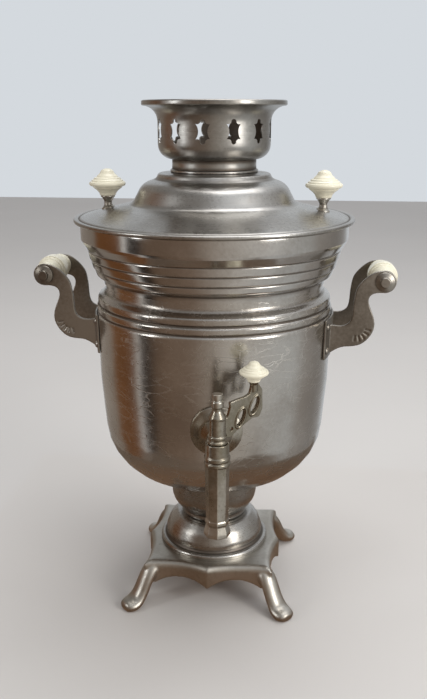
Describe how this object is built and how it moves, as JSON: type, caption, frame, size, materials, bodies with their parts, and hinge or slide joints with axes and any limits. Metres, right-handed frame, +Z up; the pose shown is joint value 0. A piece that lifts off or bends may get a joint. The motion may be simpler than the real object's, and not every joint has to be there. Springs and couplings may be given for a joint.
{
  "type": "samovar",
  "caption": "Small electric samovar with a bowl-bottomed vessel, ribbed collar, domed lid, pierced crown, side handles and a turning tap on a four-legged foot.",
  "frame": {"origin": "on the samovar's upright axis, at the level that its four feet stand on", "axes": "+Z up along the vessel's axis, -Y towards the front, where the tap is, handles at -X and +X"},
  "size_m": [0.2744, 0.2542, 0.385],
  "materials": {
    "nickel_plate": "aged nickel plate on brass, satin-bright with turning lines, fine scratches and dark specks",
    "spun_nickel": "aged nickel plate, duller, with concentric spinning lines",
    "cast_nickel": "nickel-plated casting, satin, softly uneven",
    "dark_nickel": "tarnished nickel plate on pressed brass, brownish dark",
    "ivory_plastic": "turned ivory-coloured plastic, satin gloss, yellower in the grooves",
    "seal_rubber": "black seal",
    "black_bakelite": "moulded dark plastic",
    "plain_steel": "plain zinc-grey steel",
    "bare_brass": "turned brass",
    "element_sheath": "limescale-dulled tube"
  },
  "bodies": {
    "samovar": {"base_casting": "cast_nickel", "pedestal": "nickel_plate", "neck_drum": "nickel_plate", "vessel": "nickel_plate", "collar_ring": "nickel_plate", "tap_rosette": "nickel_plate", "tap_barrel": "nickel_plate", "tap_nut": "bare_brass", "tap_washer": "seal_rubber", "left_handle_frame": "dark_nickel", "right_handle_frame": "dark_nickel", "left_grip": "ivory_plastic", "right_grip": "ivory_plastic", "left_grip_rod": "dark_nickel", "right_grip_rod": "dark_nickel", "handle_rivets": "plain_steel", "heating_element": "element_sheath", "heater_flange": "bare_brass", "heater_gasket": "seal_rubber", "inlet_shroud": "nickel_plate", "inlet_insulator": "black_bakelite", "inlet_pins": "bare_brass", "tie_stud": "plain_steel", "tie_bridge": "plain_steel", "tie_nut": "plain_steel"},
    "lid": {"lid": "spun_nickel", "lid_skirt": "spun_nickel", "lid_post_left": "nickel_plate", "lid_post_right": "nickel_plate", "lid_knob_left": "ivory_plastic", "lid_knob_right": "ivory_plastic", "lid_nuts": "plain_steel"},
    "crown": {"crown": "spun_nickel"},
    "tap_key": {"tap_plug": "nickel_plate", "tap_branch": "nickel_plate", "tap_knob": "ivory_plastic"}
  },
  "joints": [
    {"name": "lid_lift", "type": "slide", "parent": "samovar", "child": "lid", "axis": [0, 0, 1], "range_m": [0, 0.12]},
    {"name": "crown_lift", "type": "slide", "parent": "lid", "child": "crown", "axis": [0, 0, 1], "range_m": [0, 0.08]},
    {"name": "tap_turn", "type": "hinge", "parent": "samovar", "child": "tap_key", "pos_m": [0.01511, -0.12308, 0.178], "axis": [0, 0, 1], "range_deg": [-90, 0]}
  ]
}
